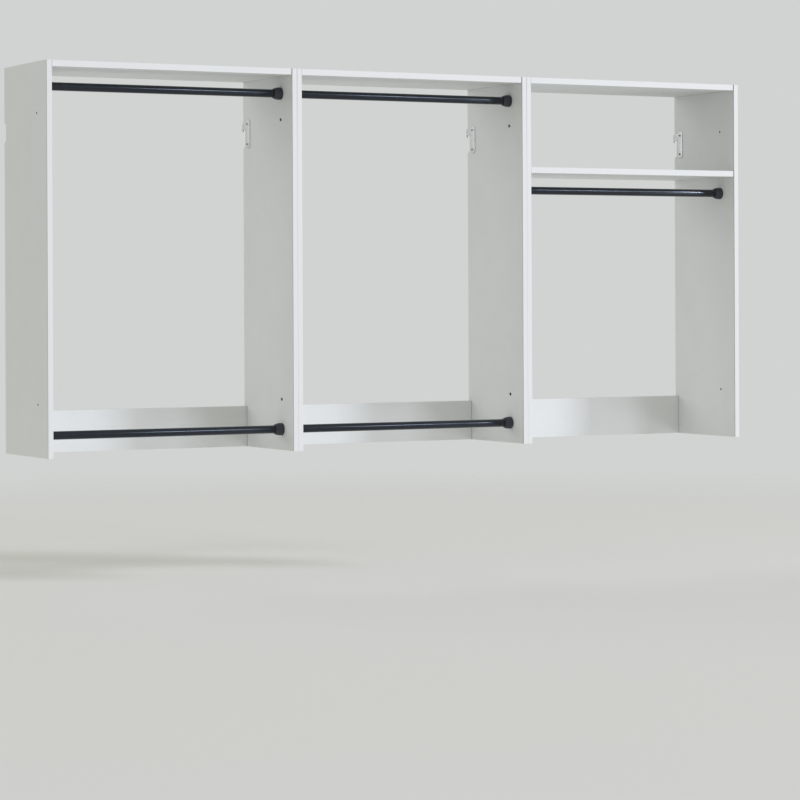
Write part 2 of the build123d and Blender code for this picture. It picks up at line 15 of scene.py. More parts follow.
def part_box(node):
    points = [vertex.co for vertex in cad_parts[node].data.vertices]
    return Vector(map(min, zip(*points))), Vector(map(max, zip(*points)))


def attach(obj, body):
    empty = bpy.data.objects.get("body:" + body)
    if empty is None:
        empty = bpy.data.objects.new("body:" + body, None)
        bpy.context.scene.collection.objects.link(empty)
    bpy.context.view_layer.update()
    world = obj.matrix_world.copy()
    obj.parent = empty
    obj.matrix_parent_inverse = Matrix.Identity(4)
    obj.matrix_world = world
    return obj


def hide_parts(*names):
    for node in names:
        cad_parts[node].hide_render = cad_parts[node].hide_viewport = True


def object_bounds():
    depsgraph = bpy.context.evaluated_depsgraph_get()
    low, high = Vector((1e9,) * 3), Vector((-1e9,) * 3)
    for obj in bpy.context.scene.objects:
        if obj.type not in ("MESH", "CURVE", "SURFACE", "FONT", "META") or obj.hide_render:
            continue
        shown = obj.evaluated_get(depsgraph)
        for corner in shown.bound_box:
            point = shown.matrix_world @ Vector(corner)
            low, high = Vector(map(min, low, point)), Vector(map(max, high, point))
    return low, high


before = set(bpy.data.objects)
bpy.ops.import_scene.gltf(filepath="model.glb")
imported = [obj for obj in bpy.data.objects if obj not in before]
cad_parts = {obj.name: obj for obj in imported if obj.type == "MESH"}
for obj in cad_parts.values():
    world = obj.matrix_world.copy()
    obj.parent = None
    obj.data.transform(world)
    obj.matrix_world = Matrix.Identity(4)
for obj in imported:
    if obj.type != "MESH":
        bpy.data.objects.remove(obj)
CAD_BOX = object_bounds()

LOG = logging.getLogger("closet")
MM = 0.001

BAYS = ("left", "middle", "right")
# A bay's two side panels, and the way along X that their inner faces look.
SIDES = {"left": 1, "right": -1}
# Painted shade: the grey of the shade in the narrow gaps where two boards or bands meet.
GAP_PAINTED_SHADE = "#6C6F70"
# Points closer than this are one point.
SAME_PLACE = 1e-6 * MM

Rgba = tuple[float, float, float, float]


class BoardLie(Enum):
    """How a board lies, as the axis that its two broad faces look along."""

    UPRIGHT = 0
    BACK = 1
    LEVEL = 2


class BandRun(Enum):
    """The axis that an edge band runs along."""

    ACROSS = 0
    UP = 2


@dataclass(frozen=True)
class Rounds:
    """Round places of one size, each about an axis along X that is given by its Y and Z.

    What lies within full_share of the radius gets painted shade in full, which fades out from
    there.
    """

    centres: tuple[tuple[float, float], ...] = ()
    radius: float = 0.0
    full_share: float = 0.9


# Colours and nodes


def linear(code: str) -> Rgba:
    """Turn an sRGB hex colour into linear light.

    Args:
        code: Six hex digits after a hash sign.

    Returns:
        Red, green and blue in linear light, and an alpha of 1.
    """
    shares = [int(code[place : place + 2], 16) / 255 for place in (1, 3, 5)]
    light = [c / 12.92 if c <= 0.04045 else ((c + 0.055) / 1.055) ** 2.4 for c in shares]
    return (light[0], light[1], light[2], 1.0)


def add_node(
    tree: NodeTree, kind: str, inputs: Mapping[int | str, Any] | None = None, **settings: Any
) -> Node:
    """Add one node with its settings, its constants and its links.

    Args:
        tree: The node tree that takes the node.
        kind: The node's type name.
        inputs: For each input, a constant or the output socket that feeds it.
        **settings: The node's own settings.

    Returns:
        The new node.
    """
    node = tree.nodes.new(kind)
    for name, value in settings.items():
        setattr(node, name, value)
    for place, value in (inputs or {}).items():
        if isinstance(value, NodeSocket):
            tree.links.new(value, node.inputs[place])
        else:
            node.inputs[place].default_value = value
    return node


def shader_sheet(name: str) -> tuple[Material, NodeTree, NodeSocket]:
    """Start a node material that reads Object coordinates.

    Args:
        name: The material's name.

    Returns:
        The material, its emptied node tree and the Object coordinate socket.
    """
    material = bpy.data.materials.new(name)
    material.use_nodes = True
    tree = material.node_tree
    tree.nodes.clear()
    coordinates = add_node(tree, "ShaderNodeTexCoord")
    return material, tree, coordinates.outputs["Object"]


def paint_shade_rounds(
    tree: NodeTree, place: NodeSocket, colour: NodeSocket, rounds: Rounds, shade: str
) -> NodeSocket:
    """Paint shade on whatever lies close to some axes along X, such as holes and drive recesses.

    Args:
        tree: The material's node tree.
        place: The Object coordinate socket.
        colour: The colour socket elsewhere.
        rounds: The axes and the radius that is shaded about each.
        shade: The sRGB hex colour of the painted shade.

    Returns:
        The socket of the colour with the painted shade.
    """
    for y, z in rounds.centres:
        across = add_node(
            tree, "ShaderNodeVectorMath", {0: place, 1: (0.0, 1.0, 1.0)}, operation="MULTIPLY"
        )
        away = add_node(
            tree, "ShaderNodeVectorMath",
            {0: across.outputs[0], 1: (0.0, y, z)}, operation="DISTANCE",
        )
        inside = add_node(
            tree, "ShaderNodeMapRange",
            {
                "Value": away.outputs["Value"], "From Min": rounds.radius * rounds.full_share,
                "From Max": rounds.radius, "To Min": 1.0, "To Max": 0.0,
            },
        )
        shaded = add_node(
            tree, "ShaderNodeMix",
            {0: inside.outputs["Result"], 6: colour, 7: linear(shade)}, data_type="RGBA",
        )
        colour = shaded.outputs[2]
    return colour


def board_ends(tree: NodeTree, place: NodeSocket, width: float) -> NodeSocket:
    """Mark the strips where boards butt on the side panels, which get painted shade.

    X folded back at every seam between bays is the distance from a bay's middle, and all boards
    end at one such distance.

    Args:
        tree: The material's node tree.
        place: The Object coordinate socket.
        width: How wide each strip is.

    Returns:
        A socket that is 1 in the strips and 0 elsewhere.
    """
    axes = add_node(tree, "ShaderNodeSeparateXYZ", {"Vector": place})
    seam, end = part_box("right_bay_left_panel")[0].x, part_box("middle_bay_top_board")[1].x
    side = add_node(
        tree, "ShaderNodeMath", {0: axes.outputs["X"], 1: seam}, operation="PINGPONG"
    )
    strip = add_node(
        tree, "ShaderNodeMath", {0: side.outputs[0], 1: end, 2: width}, operation="COMPARE"
    )
    return strip.outputs[0]


def cut_faces(tree: NodeTree, lie: BoardLie) -> NodeSocket:
    """Mark a board's cut faces, which turn away from the axis that its broad faces look along.

    Args:
        tree: The material's node tree.
        lie: How the board lies.

    Returns:
        A socket that is 1 on the cut faces and 0 on the broad ones.
    """
    normal = add_node(tree, "ShaderNodeNewGeometry")
    facing = add_node(tree, "ShaderNodeSeparateXYZ", {"Vector": normal.outputs["True Normal"]})
    size = add_node(tree, "ShaderNodeMath", {0: facing.outputs[lie.value]}, operation="ABSOLUTE")
    cut = add_node(tree, "ShaderNodeMath", {0: size.outputs[0], 1: 0.5}, operation="LESS_THAN")
    return cut.outputs[0]


def streaks(
    tree: NodeTree, place: NodeSocket, sizes_mm: Sequence[float], detail: float, roughness: float
) -> NodeSocket:
    """Draw fine marks that run along one axis, as noise that is stretched along it.

    Args:
        tree: The material's node tree.
        place: The Object coordinate socket.
        sizes_mm: How long a mark is along X, Y and Z.
        detail: How many finer layers the noise has.
        roughness: How strong the finer layers are.

    Returns:
        The socket of the marks, from 0 to 1.
    """
    scales = [1 / (size * MM) for size in sizes_mm]
    stretched = add_node(tree, "ShaderNodeMapping", {"Vector": place, "Scale": scales})
    marks = add_node(
        tree, "ShaderNodeTexNoise",
        {"Vector": stretched.outputs[0], "Scale": 1.0, "Detail": detail, "Roughness": roughness},
    )
    return marks.outputs["Fac"]


# Finishes


@dataclass(frozen=True)
class MelamineBoard:
    """White low pressure melamine pressed on three layer particle board.

    The decor paper is pressed against a satin steel plate, which gives an even white face with a
    very fine pearl and a soft, broad gloss. The cut edges show the tan chips. The bores' walls and
    the joints at the board ends get painted shade. The pearl, the glue line and the painted shade
    in the joints are drawn coarser than they are, or they would be too fine to show.
    """

    name: str = "melamine_faced_particle_board"
    white: str = "#E5E7E6"
    white_shade: str = "#DFE2E0"
    core_pale: str = "#D3BB93"
    core_dark: str = "#8E6F47"
    glue_line: str = "#5C5954"
    # Painted shade on the walls of the connector holes.
    bore_painted_shade: str = "#1F1C18"
    # Painted shade in the gaps where the boards butt on the side panels.
    joint_painted_shade: str = GAP_PAINTED_SHADE
    roughness: float = 0.60
    cloud_roughness: float = 0.08
    cut_roughness: float = 0.85
    pearl_mm: float = 1.6
    pearl_height_mm: float = 0.012
    cloud_mm: float = 90.0
    cloud_share: float = 0.7
    chip_mm: float = 2.4
    chip_height_mm: float = 0.35
    chip_share: float = 0.55
    glue_width_mm: float = 1.2
    joint_width_mm: float = 1.0

    def material(self, lie: BoardLie, front: float, bores: Rounds = Rounds()) -> Material:
        """Build the finish for boards that lie one way.

        Args:
            lie: How the board lies, which tells its pressed faces from its cut ones.
            front: The Y of the edge that the glue line runs along.
            bores: Holes through the board, so deep and narrow that their walls get painted shade.

        Returns:
            The material.
        """
        material, tree, place = shader_sheet(f"{self.name}_{lie.name.lower()}")
        cloud = add_node(
            tree, "ShaderNodeTexNoise",
            {"Vector": place, "Scale": 1 / (self.cloud_mm * MM), "Detail": 4.0, "Roughness": 0.55},
        )
        pearl = add_node(
            tree, "ShaderNodeTexNoise",
            {"Vector": place, "Scale": 1 / (self.pearl_mm * MM), "Detail": 2.0, "Roughness": 0.6},
        )
        tone = add_node(
            tree, "ShaderNodeMath",
            {0: cloud.outputs["Fac"], 1: self.cloud_share, 2: pearl.outputs["Fac"]},
            operation="MULTIPLY_ADD",
        )
        white = self.pressed_faces(tree, place, tone.outputs[0], lie, front)
        core, core_height = self.chips(tree, place)
        cut = cut_faces(tree, lie)
        colour = add_node(tree, "ShaderNodeMix", {0: cut, 6: white, 7: core}, data_type="RGBA")
        # Painted shade on the walls of the connector holes.
        shaded = paint_shade_rounds(tree, place, colour.outputs[2], bores, self.bore_painted_shade)
        rough = add_node(
            tree, "ShaderNodeMapRange",
            {"Value": cut, "To Min": self.roughness, "To Max": self.cut_roughness},
        )
        rough_cloud = add_node(
            tree, "ShaderNodeMath",
            {0: cloud.outputs["Fac"], 1: self.cloud_roughness, 2: rough.outputs["Result"]},
            operation="MULTIPLY_ADD",
        )
        height = add_node(tree, "ShaderNodeMix", {0: cut, 2: pearl.outputs["Fac"], 3: core_height})
        depth = add_node(
            tree, "ShaderNodeMapRange",
            {
                "Value": cut, "To Min": self.pearl_height_mm * MM,
                "To Max": self.chip_height_mm * MM,
            },
        )
        bump = add_node(
            tree, "ShaderNodeBump",
            {"Strength": 1.0, "Height": height.outputs[0], "Distance": depth.outputs["Result"]},
        )
        shader = add_node(
            tree, "ShaderNodeBsdfPrincipled",
            {
                "Base Color": shaded, "Roughness": rough_cloud.outputs[0],
                "IOR": 1.5, "Specular IOR Level": 0.32, "Normal": bump.outputs["Normal"],
            },
        )
        add_node(tree, "ShaderNodeOutputMaterial", {"Surface": shader.outputs[0]})
        return material

    def pressed_faces(
        self, tree: NodeTree, place: NodeSocket, tone: NodeSocket, lie: BoardLie, front: float
    ) -> NodeSocket:
        """Tone the pressed faces, with the glue line behind the front band and painted shade at the
        joints.

        Args:
            tree: The material's node tree.
            place: The Object coordinate socket.
            tone: The socket of the white's faint unevenness.
            lie: How the board lies. An upright one butts on nothing, so it gets no painted shade at
                joints.
            front: The Y of the edge that the glue line runs along.

        Returns:
            The socket of the faces' colour.
        """
        share = add_node(
            tree, "ShaderNodeMapRange", {"Value": tone, "From Min": 0.60, "From Max": 1.10}
        )
        white = add_node(
            tree, "ShaderNodeMix",
            {0: share.outputs["Result"], 6: linear(self.white_shade), 7: linear(self.white)},
            data_type="RGBA",
        )
        axes = add_node(tree, "ShaderNodeSeparateXYZ", {"Vector": place})
        glue = add_node(
            tree, "ShaderNodeMath",
            {0: axes.outputs["Y"], 1: front + self.glue_width_mm * MM}, operation="LESS_THAN",
        )
        glued = add_node(
            tree, "ShaderNodeMix",
            {0: glue.outputs[0], 6: white.outputs[2], 7: linear(self.glue_line)}, data_type="RGBA",
        )
        if lie is BoardLie.UPRIGHT:
            return glued.outputs[2]
        # Painted shade in the gaps where the boards butt on the side panels.
        ends = board_ends(tree, place, self.joint_width_mm * MM)
        jointed = add_node(
            tree, "ShaderNodeMix",
            {0: ends, 6: glued.outputs[2], 7: linear(self.joint_painted_shade)}, data_type="RGBA",
        )
        return jointed.outputs[2]

    def chips(self, tree: NodeTree, place: NodeSocket) -> tuple[NodeSocket, NodeSocket]:
        """Draw the pressed chips that a cut through particle board shows.

        Args:
            tree: The material's node tree.
            place: The Object coordinate socket.

        Returns:
            The sockets of the chips' colour and of their height.
        """
        chips = add_node(
            tree, "ShaderNodeTexVoronoi", {"Vector": place, "Scale": 1 / (self.chip_mm * MM)}
        )
        dust = add_node(
            tree, "ShaderNodeTexNoise",
            {"Vector": place, "Scale": 2 / (self.chip_mm * MM), "Detail": 4.0, "Roughness": 0.7},
        )
        each = add_node(tree, "ShaderNodeSeparateColor", {"Color": chips.outputs["Color"]})
        blend = add_node(
            tree, "ShaderNodeMath",
            {0: each.outputs["Red"], 1: self.chip_share, 2: dust.outputs["Fac"]},
            operation="MULTIPLY_ADD",
        )
        share = add_node(
            tree, "ShaderNodeMapRange",
            {"Value": blend.outputs[0], "From Min": 0.35, "From Max": 1.15},
        )
        colour = add_node(
            tree, "ShaderNodeMix",
            {0: share.outputs["Result"], 6: linear(self.core_dark), 7: linear(self.core_pale)},
            data_type="RGBA",
        )
        return colour.outputs[2], blend.outputs[0]


@dataclass(frozen=True)
class EdgeBanding:
    """White ABS edge banding, glued on hot, trimmed and scraped.

    It is a little whiter and glossier than the board, and the scraper leaves long, very fine marks.
    The marks, and the painted shade in the seams and joints, are drawn coarser than they are, so
    that they show.
    """

    name: str = "abs_edge_banding"
    white: str = "#EAECEB"
    white_shade: str = "#E3E5E4"
    roughness: float = 0.33
    mark_roughness: float = 0.1
    mark_width_mm: float = 0.9
    mark_length_mm: float = 260.0
    mark_height_mm: float = 0.008
    # Painted shade in the seams between bays and in the joints at the board ends.
    gap_painted_shade: str = GAP_PAINTED_SHADE
    seam_width_mm: float = 1.2
    seam_open_mm: float = 280.0
    # How dark the painted shade in the seams is, low down and at the top.
    low_seam_share: float = 0.12
    top_seam_share: float = 0.75
    joint_width_mm: float = 1.5

    def material(self, run: BandRun) -> Material:
        """Build the finish for bands that run one way.

        Args:
            run: The axis that the band runs along.

        Returns:
            The material.
        """
        material, tree, place = shader_sheet(f"{self.name}_{run.name.lower()}")
        sizes = [self.mark_width_mm] * 3
        sizes[run.value] = self.mark_length_mm
        marks = streaks(tree, place, sizes, detail=3.0, roughness=0.5)
        colour = add_node(
            tree, "ShaderNodeMix",
            {0: marks, 6: linear(self.white_shade), 7: linear(self.white)}, data_type="RGBA",
        )
        # Painted shade: a grey line at the seam between two bays' upright bands, and at the joints
        # of level ones with the panels, stands for the shade in these narrow gaps.
        if run is BandRun.UP:
            groove = self.seams(tree, place)
        else:
            groove = board_ends(tree, place, self.joint_width_mm * MM)
        toned = add_node(
            tree, "ShaderNodeMix",
            {0: groove, 6: colour.outputs[2], 7: linear(self.gap_painted_shade)}, data_type="RGBA",
        )
        rough = add_node(
            tree, "ShaderNodeMapRange",
            {
                "Value": marks, "To Min": self.roughness,
                "To Max": self.roughness + self.mark_roughness,
            },
        )
        bump = add_node(
            tree, "ShaderNodeBump",
            {"Strength": 1.0, "Height": marks, "Distance": self.mark_height_mm * MM},
        )
        shader = add_node(
            tree, "ShaderNodeBsdfPrincipled",
            {
                "Base Color": toned.outputs[2], "Roughness": rough.outputs["Result"],
                "IOR": 1.52, "Normal": bump.outputs["Normal"],
            },
        )
        add_node(tree, "ShaderNodeOutputMaterial", {"Surface": shader.outputs[0]})
        return material

    def seams(self, tree: NodeTree, place: NodeSocket) -> NodeSocket:
        """Mark the seams between bays, which lie as far to the left as to the right.

        The connector screws pull the panels tight, and the seams open a little near the top, so the
        painted shade in them grows darker towards the top.

        Args:
            tree: The material's node tree.
            place: The Object coordinate socket.

        Returns:
            A socket that is the share of painted shade at the seams and 0 elsewhere.
        """
        axes = add_node(tree, "ShaderNodeSeparateXYZ", {"Vector": place})
        side = add_node(tree, "ShaderNodeMath", {0: axes.outputs["X"]}, operation="ABSOLUTE")
        seam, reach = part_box("right_bay_left_panel")[0].x, self.seam_width_mm * MM / 2
        strip = add_node(
            tree, "ShaderNodeMath", {0: side.outputs[0], 1: seam, 2: reach}, operation="COMPARE"
        )
        top = CAD_BOX[1].z
        opening = add_node(
            tree, "ShaderNodeMapRange",
            {
                "Value": axes.outputs["Z"], "From Min": top - self.seam_open_mm * MM,
                "From Max": top, "To Min": self.low_seam_share, "To Max": self.top_seam_share,
            },
        )
        shown = add_node(
            tree, "ShaderNodeMath", {0: strip.outputs[0], 1: opening.outputs[0]},
            operation="MULTIPLY",
        )
        return shown.outputs[0]


@dataclass(frozen=True)
class PowderCoat:
    """Black powder coat, baked on steel tube.

    The powder melts into a satin film with a fine orange peel, which softly breaks the highlight
    up, and a faint haze.
    """

    name: str = "black_powder_coat"
    black: str = "#07090F"
    black_worn: str = "#0C0E16"
    sheen: str = "#E1EFFF"
    roughness_low: float = 0.14
    roughness_high: float = 0.26
    haze_mm: float = 45.5
    peel_mm: float = 1.4
    peel_height_mm: float = 0.018

    def material(self) -> Material:
        """Build the finish.

        Returns:
            The material.
        """
        material, tree, place = shader_sheet(self.name)
        peel = add_node(
            tree, "ShaderNodeTexNoise",
            {"Vector": place, "Scale": 1 / (self.peel_mm * MM), "Detail": 1.5, "Roughness": 0.4},
        )
        haze = add_node(
            tree, "ShaderNodeTexNoise",
            {"Vector": place, "Scale": 1 / (self.haze_mm * MM), "Detail": 3.0, "Roughness": 0.6},
        )
        colour = add_node(
            tree, "ShaderNodeMix",
            {0: haze.outputs["Fac"], 6: linear(self.black), 7: linear(self.black_worn)},
            data_type="RGBA",
        )
        rough = add_node(
            tree, "ShaderNodeMapRange",
            {
                "Value": haze.outputs["Fac"], "To Min": self.roughness_low,
                "To Max": self.roughness_high,
            },
        )
        bump = add_node(
            tree, "ShaderNodeBump",
            {"Strength": 0.8, "Height": peel.outputs["Fac"], "Distance": self.peel_height_mm * MM},
        )
        shader = add_node(
            tree, "ShaderNodeBsdfPrincipled",
            {
                "Base Color": colour.outputs[2], "Roughness": rough.outputs["Result"],
                "IOR": 1.5, "Specular IOR Level": 0.62, "Specular Tint": linear(self.sheen),
                "Normal": bump.outputs["Normal"],
            },
        )
        add_node(tree, "ShaderNodeOutputMaterial", {"Surface": shader.outputs[0]})
        return material


@dataclass(frozen=True)
class MouldedBlack:
    """Black nylon, injection moulded in a spark eroded mould.

    The mould's fine matte grain turns off any sharp highlight and lifts the black to a soft grey.
    The grain is drawn coarser than it is, so that it shows.
    """

    name: str = "moulded_black_nylon"
    black: str = "#383D47"
    black_shade: str = "#2C3039"
    roughness_low: float = 0.50
    roughness_high: float = 0.65
    flow_mm: float = 14.3
    grain_mm: float = 0.7
    grain_height_mm: float = 0.05

    def material(self) -> Material:
        """Build the finish.

        Returns:
            The material.
        """
        material, tree, place = shader_sheet(self.name)
        grain = add_node(
            tree, "ShaderNodeTexNoise",
            {"Vector": place, "Scale": 1 / (self.grain_mm * MM), "Detail": 3.0, "Roughness": 0.65},
        )
        flow = add_node(
            tree, "ShaderNodeTexNoise",
            {"Vector": place, "Scale": 1 / (self.flow_mm * MM), "Detail": 2.0, "Roughness": 0.5},
        )
        colour = add_node(
            tree, "ShaderNodeMix",
            {0: flow.outputs["Fac"], 6: linear(self.black_shade), 7: linear(self.black)},
            data_type="RGBA",
        )
        rough = add_node(
            tree, "ShaderNodeMapRange",
            {
                "Value": grain.outputs["Fac"], "To Min": self.roughness_low,
                "To Max": self.roughness_high,
            },
        )
        bump = add_node(
            tree, "ShaderNodeBump",
            {
                "Strength": 0.6, "Height": grain.outputs["Fac"],
                "Distance": self.grain_height_mm * MM,
            },
        )
        shader = add_node(
            tree, "ShaderNodeBsdfPrincipled",
            {
                "Base Color": colour.outputs[2], "Roughness": rough.outputs["Result"],
                "IOR": 1.53, "Normal": bump.outputs["Normal"],
            },
        )
        add_node(tree, "ShaderNodeOutputMaterial", {"Surface": shader.outputs[0]})
        return material


@dataclass(frozen=True)
class PlatedMetal:
    """Metal that is plated, oxidised or cast, with rolling lines or a cast grain.

    The lines run along Z. They and the grain are drawn coarser than they are, so that they show.
    """

    name: str
    light: str
    dark: str
    roughness: float
    grain_mm: float
    line_length_mm: float
    height_mm: float
    # Painted shade in the drive recesses of screw heads.
    recess_painted_shade: str = "#08090A"
    spangle_mm: float = 6.25
    line_roughness: float = 0.16

    def material(self, recesses: Rounds = Rounds()) -> Material:
        """Build the finish.

        Args:
            recesses: The drive recesses of screw heads, which get painted shade.

        Returns:
            The material.
        """
        material, tree, place = shader_sheet(self.name)
        sizes = (self.grain_mm, self.grain_mm, self.line_length_mm)
        lines = streaks(tree, place, sizes, detail=3.0, roughness=0.6)
        spangle = add_node(
            tree, "ShaderNodeTexNoise",
            {"Vector": place, "Scale": 1 / (self.spangle_mm * MM), "Detail": 2.0, "Roughness": 0.5},
        )
        tone = add_node(
            tree, "ShaderNodeMath",
            {0: lines, 1: spangle.outputs["Fac"]}, operation="MULTIPLY",
        )
        share = add_node(
            tree, "ShaderNodeMapRange",
            {"Value": tone.outputs[0], "From Min": 0.12, "From Max": 0.40},
        )
        metal = add_node(
            tree, "ShaderNodeMix",
            {0: share.outputs["Result"], 6: linear(self.dark), 7: linear(self.light)},
            data_type="RGBA",
        )
        # Painted shade in the drive recesses, where any are given.
        colour = paint_shade_rounds(tree, place, metal.outputs[2], recesses, self.recess_painted_shade)
        rough = add_node(
            tree, "ShaderNodeMapRange",
            {
                "Value": lines, "To Min": self.roughness,
                "To Max": self.roughness + self.line_roughness,
            },
        )
        bump = add_node(
            tree, "ShaderNodeBump",
            {"Strength": 0.7, "Height": lines, "Distance": self.height_mm * MM},
        )
        shader = add_node(
            tree, "ShaderNodeBsdfPrincipled",
            {
                "Base Color": colour, "Metallic": 1.0,
                "Roughness": rough.outputs["Result"], "Normal": bump.outputs["Normal"],
            },
        )
        add_node(tree, "ShaderNodeOutputMaterial", {"Surface": shader.outputs[0]})
        return material


# Rolled steel strip, zinc plated bright and passivated blue: fine lines along the strip.
ZINC_PLATE = PlatedMetal(
    "zinc_plated_steel", light="#D7D8D7", dark="#C1C3C3",
    roughness=0.30, grain_mm=0.6, line_length_mm=30.0, height_mm=0.01,
)
# Cold headed steel, zinc plated: brighter, with hardly any lines.
ZINC_SCREW = PlatedMetal(
    "zinc_plated_screw_steel", light="#F0F1F3", dark="#D9DCE0",
    roughness=0.16, grain_mm=0.5, line_length_mm=1.5, height_mm=0.006,
)
# Die cast zinc, tumbled: a dull grey with a small even grain.
CAST_ZINC = PlatedMetal(
    "die_cast_zinc", light="#A6A9AD", dark="#7E8287",
    roughness=0.44, grain_mm=0.5, line_length_mm=0.6, height_mm=0.03,
)
# Steel with a black oxide, oiled: nearly black with a faint metal sheen.
BLACK_OXIDE = PlatedMetal(
    "black_oxide_steel", light="#34363A", dark="#1E2023",
    roughness=0.36, grain_mm=0.5, line_length_mm=2.0, height_mm=0.01,
)


@dataclass(frozen=True)
class TurnedBeech:
    """Beech dowel rod, planed round and left raw, with short dark flecks along the grain."""

    name: str = "turned_beech"
    pale: str = "#D9B98A"
    dark: str = "#B48C5A"
    fleck_mm: float = 0.5
    fleck_length_mm: float = 3.0
    fleck_height_mm: float = 0.05
    roughness: float = 0.62

    def material(self) -> Material:
        """Build the finish.

        Returns:
            The material.
        """
        material, tree, place = shader_sheet(self.name)
        sizes = (self.fleck_length_mm, self.fleck_mm, self.fleck_mm)
        grain = streaks(tree, place, sizes, detail=4.0, roughness=0.6)
        colour = add_node(
            tree, "ShaderNodeMix",
            {0: grain, 6: linear(self.dark), 7: linear(self.pale)}, data_type="RGBA",
        )
        bump = add_node(
            tree, "ShaderNodeBump",
            {"Strength": 0.6, "Height": grain, "Distance": self.fleck_height_mm * MM},
        )
        shader = add_node(
            tree, "ShaderNodeBsdfPrincipled",
            {
                "Base Color": colour.outputs[2], "Roughness": self.roughness,
                "IOR": 1.45, "Normal": bump.outputs["Normal"],
            },
        )
        add_node(tree, "ShaderNodeOutputMaterial", {"Surface": shader.outputs[0]})
        return material


# Surfaces worked out as arrays


def turned_ring(
    profile: np.ndarray, axis_point: Sequence[float], direction: int, segments: int
) -> tuple[np.ndarray, list[list[int]]]:
    """Turn a closed profile about an axis along X.

    Each point at distance r from the axis and a along it goes to
    (a, r cos t, r sin t), for t in even steps round the circle.

    Args:
        profile: Rows of radius and distance along the axis, a closed ring, in metres.
        axis_point: The point that distances along the axis start from.
        direction: 1 where the profile's distances run along +X, -1 along -X.
        segments: How many steps go round the circle.

    Returns:
        The vertices and the four sided faces.
    """
    turns = np.linspace(0.0, 2 * np.pi, segments, endpoint=False)
    radius, along = profile[:, 0][:, None], profile[:, 1][:, None]
    x = np.broadcast_to(axis_point[0] + direction * along, (len(profile), segments))
    y = axis_point[1] + radius * np.cos(turns)[None, :]
    z = axis_point[2] + radius * np.sin(turns)[None, :]
    vertices = np.stack([x, y, z], axis=-1).reshape(-1, 3)
    return vertices, lattice_faces(len(profile), segments, True).tolist()


def lattice_faces(rows: int, columns: int, closed: bool) -> np.ndarray:
    """Four sided faces between the points of a lattice whose columns go round.

    The face at row i and column j joins the points (i, j), (i, j+1), (i+1, j+1) and (i+1, j).

    Args:
        rows: How many rows of points there are.
        columns: How many points each row has.
        closed: Whether the last row joins the first one.

    Returns:
        The faces, as rows of four point numbers.
    """
    row, column = np.meshgrid(np.arange(rows - 1 + closed), np.arange(columns), indexing="ij")
    next_row, next_column = (row + 1) % rows, (column + 1) % columns
    corners = (
        row * columns + column, row * columns + next_column,
        next_row * columns + next_column, next_row * columns + column,
    )
    return np.stack(corners, axis=-1).reshape(-1, 4)


def rounded_corners(points: np.ndarray, radii: np.ndarray, steps: int) -> np.ndarray:
    """Round the corners of a closed outline.

    With a and b the steps of one radius from corner C along its two edges, the curve is
    C + a (1 - sin t) + b (1 - cos t), for t from 0 to a quarter turn, which is a circle's arc
    at a right angle.

    Args:
        points: The outline's corners, in order.
        radii: How far from each corner its rounding starts; zero keeps the corner.
        steps: How many points each rounding has.

    Returns:
        The rounded outline, as rows of two.
    """
    before = np.roll(points, 1, axis=0) - points
    after = np.roll(points, -1, axis=0) - points
    back = before / np.linalg.norm(before, axis=1)[:, None] * radii[:, None]
    forth = after / np.linalg.norm(after, axis=1)[:, None] * radii[:, None]
    t = np.linspace(0.0, np.pi / 2, steps)[None, :, None]
    curve = points[:, None] + back[:, None] * (1 - np.sin(t)) + forth[:, None] * (1 - np.cos(t))
    flat = curve.reshape(-1, 2)
    # Points that fall together, as they do at a corner that is kept, are made one.
    steps_apart = np.linalg.norm(flat - np.roll(flat, 1, axis=0), axis=1)
    return flat[steps_apart > SAME_PLACE]


def stamped_plate(
    outline: np.ndarray, holes: Sequence[np.ndarray], back: float, thickness: float,
    roll: float, roll_steps: int,
) -> tuple[np.ndarray, list[list[int]]]:
    """A flat plate in the plane of Y and Z, with the front corner of its rim rolled round.

    At angle t of the roll the rim lies roll (1 - cos t) inside the outline and roll (1 - sin t)
    behind the front. A rim point moves in along the mean of its two edges' normals, by the inset
    over the cosine of half the turn between them.

    Args:
        outline: Rows of Y and Z, anticlockwise, in metres.
        holes: Outlines of round holes that go straight through.
        back: X of the plate's back.
        thickness: How far the front lies from the back, negative along -X.
        roll: The radius of the rolled corner.
        roll_steps: How many points the roll gets.

    Returns:
        The vertices and the faces.
    """
    edge = np.roll(outline, -1, axis=0) - outline
    edge /= np.linalg.norm(edge, axis=1)[:, None]
    inner = np.column_stack([-edge[:, 1], edge[:, 0]])
    mean = inner + np.roll(inner, 1, axis=0)
    mean *= 2 / np.einsum("ij,ij->i", mean, mean)[:, None]
    t = np.linspace(0.0, np.pi / 2, roll_steps)
    insets = np.concatenate([[0.0], roll * (1 - np.cos(t))])
    depths = np.concatenate([[1.0], roll / abs(thickness) * (1 - np.sin(t))])
    rim = outline[None] + mean[None] * insets[:, None, None]
    x = np.broadcast_to(back + thickness * (1 - depths)[:, None], rim.shape[:2])
    rings = [np.concatenate([x[..., None], rim], axis=-1).reshape(-1, 3)]
    faces = lattice_faces(len(insets), len(outline), False).tolist()
    front = [(len(insets) - 1) * len(outline) + np.arange(len(outline))]
    rear = [np.arange(len(outline))]
    start = len(rings[0])
    for hole in holes:
        for end in (back, back + thickness):
            rings.append(np.column_stack([np.full(len(hole), end), hole]))
        faces += (lattice_faces(2, len(hole), False) + start).tolist()
        rear.append(start + np.arange(len(hole)))
        front.append(start + len(hole) + np.arange(len(hole)))
        start += 2 * len(hole)
    vertices = np.vstack(rings)
    for loops in (front, rear):
        flat = [vertices[loop] * (0, 1, 1) for loop in loops]
        triangles = tessellate_polygon([np.roll(points, -1, axis=1).tolist() for points in flat])
        faces += np.concatenate(loops)[np.array(triangles)].tolist()
    return vertices, faces


